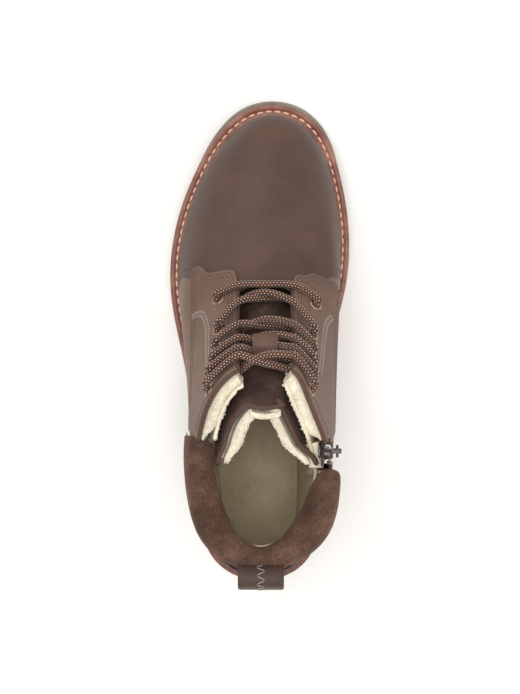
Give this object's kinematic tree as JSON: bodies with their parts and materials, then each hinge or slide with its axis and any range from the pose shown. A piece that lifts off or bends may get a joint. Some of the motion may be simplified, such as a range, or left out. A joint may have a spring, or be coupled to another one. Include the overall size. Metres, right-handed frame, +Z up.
{
  "type": "insulated hunting boot",
  "caption": "Left insulated ankle boot in smooth leather with round laces, padded collar, wool lining, side zip and heel pull loop on a stacked rubber sole.",
  "frame": {"origin": "middle of the bounding box at the ground under the sole", "axes": "+Y from heel to toe, +X towards the inner side with the zip, +Z up"},
  "size_m": [0.1136, 0.3014, 0.1646],
  "materials": {
    "outsole_rubber": "matte",
    "rim_leather": "satin",
    "leather": "matte",
    "collar_leather": "matte",
    "tongue_leather": "matte",
    "board": "matte",
    "shank_steel": "satin",
    "felt": "matte",
    "wadding": "matte",
    "wool": "matte",
    "lace_cord": "matte",
    "aglet_plastic": "gloss",
    "tape_cloth": "matte",
    "zip_metal": "satin",
    "eyelet_brass": "satin"
  },
  "bodies": {
    "boot": {"outsole": "outsole_rubber", "heel_lift": "outsole_rubber", "midsole": "rim_leather", "shank": "shank_steel", "welt": "rim_leather", "insole_board": "board", "footbed": "felt", "vamp": "leather", "toe_puff": "board", "heel_counter": "board", "quarter_outer": "leather", "quarter_inner": "leather", "heel_cover": "leather", "insulation_vamp": "wadding", "insulation_outer": "wadding", "insulation_inner": "wadding", "lining_vamp": "wool", "lining_outer": "wool", "lining_inner": "wool", "lining_heel": "felt", "zip_guard": "wool", "collar": "collar_leather", "collar_foam": "wadding", "tongue": "tongue_leather", "tongue_foam": "wadding", "tongue_lining": "wool", "gusset_outer": "tongue_leather", "gusset_inner": "tongue_leather", "eyelet_outer_1": "eyelet_brass", "eyelet_outer_2": "eyelet_brass", "eyelet_outer_3": "eyelet_brass", "eyelet_outer_4": "eyelet_brass", "eyelet_outer_5": "eyelet_brass", "eyelet_outer_6": "eyelet_brass", "eyelet_inner_1": "eyelet_brass", "eyelet_inner_2": "eyelet_brass", "eyelet_inner_3": "eyelet_brass", "eyelet_inner_4": "eyelet_brass", "eyelet_inner_5": "eyelet_brass", "eyelet_inner_6": "eyelet_brass", "lace": "lace_cord", "aglet_inner": "aglet_plastic", "aglet_outer": "aglet_plastic", "lace_keeper": "leather", "heel_pull_loop": "collar_leather", "zip_tape_front": "tape_cloth", "zip_teeth_front": "zip_metal", "zip_tape_rear": "tape_cloth", "zip_teeth_rear": "zip_metal", "zip_bottom_stop": "zip_metal"},
    "slider": {"zip_slider": "zip_metal"},
    "puller": {"zip_puller": "zip_metal"}
  },
  "joints": [
    {"name": "zip_slide", "type": "slide", "parent": "boot", "child": "slider", "axis": [0.0392, -0.0712, -0.9967], "range_m": [0, 0.062]},
    {"name": "puller_hinge", "type": "hinge", "parent": "slider", "child": "puller", "pos_m": [0.04527, -0.06436, 0.14121], "axis": [-0.0128, -0.9974, 0.0707], "range_deg": [0, 150]}
  ]
}
